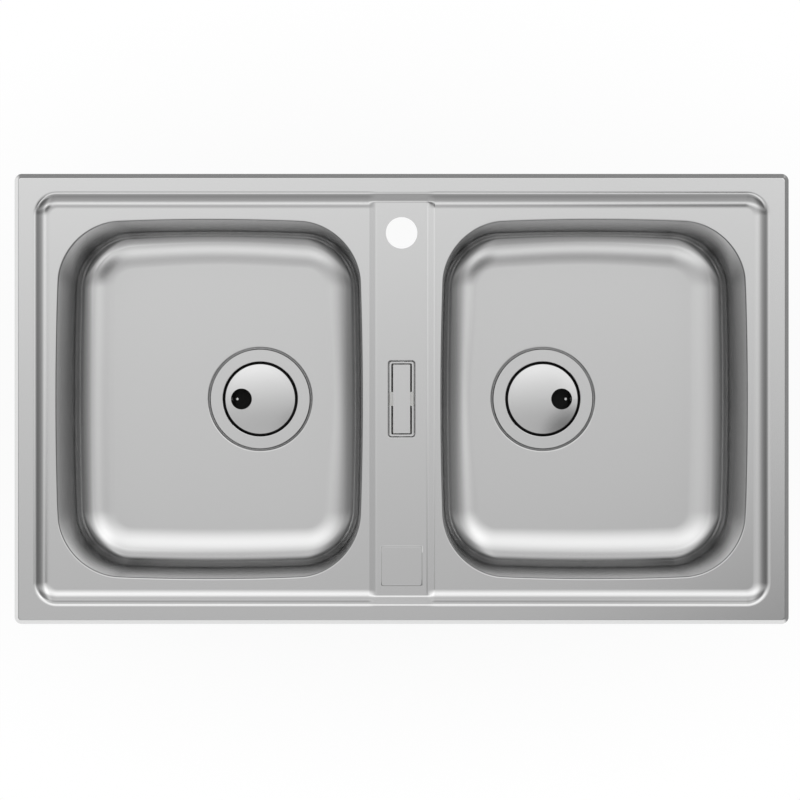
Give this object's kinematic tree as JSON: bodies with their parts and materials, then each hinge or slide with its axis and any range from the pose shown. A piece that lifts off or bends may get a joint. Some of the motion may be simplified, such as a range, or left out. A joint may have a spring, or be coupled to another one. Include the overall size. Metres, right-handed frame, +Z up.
{
  "type": "double bowl kitchen sink",
  "caption": "Stainless double bowl kitchen sink that lies in a worktop cut-out, with strainer wastes, an overflow and fixing clamps.",
  "frame": {"origin": "middle of the sink on the worktop's top face, which the foam seal under the rim rests on", "axes": "+X along the sink to the right as a user faces it, +Y to the back where the tap hole is, +Z up"},
  "size_m": [0.86, 0.5, 0.2344],
  "materials": {
    "brushed_stainless": "fine satin, pressed and drawn sheet",
    "satin_stainless": "satin",
    "polished_stainless": "bright polished",
    "black_coated_steel": "black plastic coating, satin",
    "zinc_plated_steel": "zinc plated",
    "black_rubber": "matt",
    "grey_foam": "closed-cell foam",
    "bitumen_pad": "grained bitumen sheet",
    "white_plastic": "moulded polypropylene"
  },
  "bodies": {
    "root": {"clip_brackets": "zinc_plated_steel", "deck": "brushed_stainless", "left_bowl": "brushed_stainless", "left_flange_gasket": "black_rubber", "left_lower_gasket": "black_rubber", "left_sound_pad": "bitumen_pad", "left_strainer_flange": "satin_stainless", "left_waste_body": "white_plastic", "left_waste_screw": "zinc_plated_steel", "overflow_body": "white_plastic", "overflow_bridge": "white_plastic", "overflow_cover": "satin_stainless", "overflow_gasket": "black_rubber", "overflow_screw": "zinc_plated_steel", "right_bowl": "brushed_stainless", "right_flange_gasket": "black_rubber", "right_lower_gasket": "black_rubber", "right_sound_pad": "bitumen_pad", "right_strainer_flange": "satin_stainless", "right_waste_body": "white_plastic", "right_waste_screw": "zinc_plated_steel", "rim_seal": "grey_foam"},
    "left_basket": {"left_strainer_basket": "black_coated_steel", "left_basket_seal": "black_rubber"},
    "left_cover": {"left_waste_cover": "polished_stainless"},
    "right_basket": {"right_strainer_basket": "black_coated_steel", "right_basket_seal": "black_rubber"},
    "right_cover": {"right_waste_cover": "polished_stainless"},
    "clamp_1": {"clamp_screw_1": "zinc_plated_steel"},
    "claw_1": {"clamp_claw_1": "zinc_plated_steel"},
    "clamp_2": {"clamp_screw_2": "zinc_plated_steel"},
    "claw_2": {"clamp_claw_2": "zinc_plated_steel"},
    "clamp_3": {"clamp_screw_3": "zinc_plated_steel"},
    "claw_3": {"clamp_claw_3": "zinc_plated_steel"},
    "clamp_4": {"clamp_screw_4": "zinc_plated_steel"},
    "claw_4": {"clamp_claw_4": "zinc_plated_steel"},
    "clamp_5": {"clamp_screw_5": "zinc_plated_steel"},
    "claw_5": {"clamp_claw_5": "zinc_plated_steel"},
    "clamp_6": {"clamp_screw_6": "zinc_plated_steel"},
    "claw_6": {"clamp_claw_6": "zinc_plated_steel"},
    "clamp_7": {"clamp_screw_7": "zinc_plated_steel"},
    "claw_7": {"clamp_claw_7": "zinc_plated_steel"},
    "clamp_8": {"clamp_screw_8": "zinc_plated_steel"},
    "claw_8": {"clamp_claw_8": "zinc_plated_steel"}
  },
  "joints": [
    {"name": "left_basket_lift", "type": "slide", "parent": "root", "child": "left_basket", "axis": [0, 0, 1], "range_m": [0, 0.19]},
    {"name": "left_cover_lift", "type": "slide", "parent": "left_basket", "child": "left_cover", "axis": [0, 0, 1], "range_m": [0, 0.17]},
    {"name": "right_basket_lift", "type": "slide", "parent": "root", "child": "right_basket", "axis": [0, 0, 1], "range_m": [0, 0.19]},
    {"name": "right_cover_lift", "type": "slide", "parent": "right_basket", "child": "right_cover", "axis": [0, 0, 1], "range_m": [0, 0.17]},
    {"name": "clamp_1_raise", "type": "slide", "parent": "root", "child": "clamp_1", "axis": [0, 0, 1], "range_m": [0, 0.02]},
    {"name": "claw_1_swing", "type": "hinge", "parent": "clamp_1", "child": "claw_1", "pos_m": [-0.29, -0.224, -0.054], "axis": [0, 0, 1], "range_deg": [0, 90]},
    {"name": "clamp_2_raise", "type": "slide", "parent": "root", "child": "clamp_2", "axis": [0, 0, 1], "range_m": [0, 0.02]},
    {"name": "claw_2_swing", "type": "hinge", "parent": "clamp_2", "child": "claw_2", "pos_m": [0, -0.224, -0.054], "axis": [0, 0, 1], "range_deg": [0, 90]},
    {"name": "clamp_3_raise", "type": "slide", "parent": "root", "child": "clamp_3", "axis": [0, 0, 1], "range_m": [0, 0.02]},
    {"name": "claw_3_swing", "type": "hinge", "parent": "clamp_3", "child": "claw_3", "pos_m": [0.29, -0.224, -0.054], "axis": [0, 0, 1], "range_deg": [0, 90]},
    {"name": "clamp_4_raise", "type": "slide", "parent": "root", "child": "clamp_4", "axis": [0, 0, 1], "range_m": [0, 0.02]},
    {"name": "claw_4_swing", "type": "hinge", "parent": "clamp_4", "child": "claw_4", "pos_m": [-0.29, 0.224, -0.054], "axis": [0, 0, 1], "range_deg": [0, 90]},
    {"name": "clamp_5_raise", "type": "slide", "parent": "root", "child": "clamp_5", "axis": [0, 0, 1], "range_m": [0, 0.02]},
    {"name": "claw_5_swing", "type": "hinge", "parent": "clamp_5", "child": "claw_5", "pos_m": [0, 0.224, -0.054], "axis": [0, 0, 1], "range_deg": [0, 90]},
    {"name": "clamp_6_raise", "type": "slide", "parent": "root", "child": "clamp_6", "axis": [0, 0, 1], "range_m": [0, 0.02]},
    {"name": "claw_6_swing", "type": "hinge", "parent": "clamp_6", "child": "claw_6", "pos_m": [0.29, 0.224, -0.054], "axis": [0, 0, 1], "range_deg": [0, 90]},
    {"name": "clamp_7_raise", "type": "slide", "parent": "root", "child": "clamp_7", "axis": [0, 0, 1], "range_m": [0, 0.02]},
    {"name": "claw_7_swing", "type": "hinge", "parent": "clamp_7", "child": "claw_7", "pos_m": [-0.404, 0, -0.054], "axis": [0, 0, 1], "range_deg": [0, 90]},
    {"name": "clamp_8_raise", "type": "slide", "parent": "root", "child": "clamp_8", "axis": [0, 0, 1], "range_m": [0, 0.02]},
    {"name": "claw_8_swing", "type": "hinge", "parent": "clamp_8", "child": "claw_8", "pos_m": [0.404, 0, -0.054], "axis": [0, 0, 1], "range_deg": [0, 90]}
  ]
}
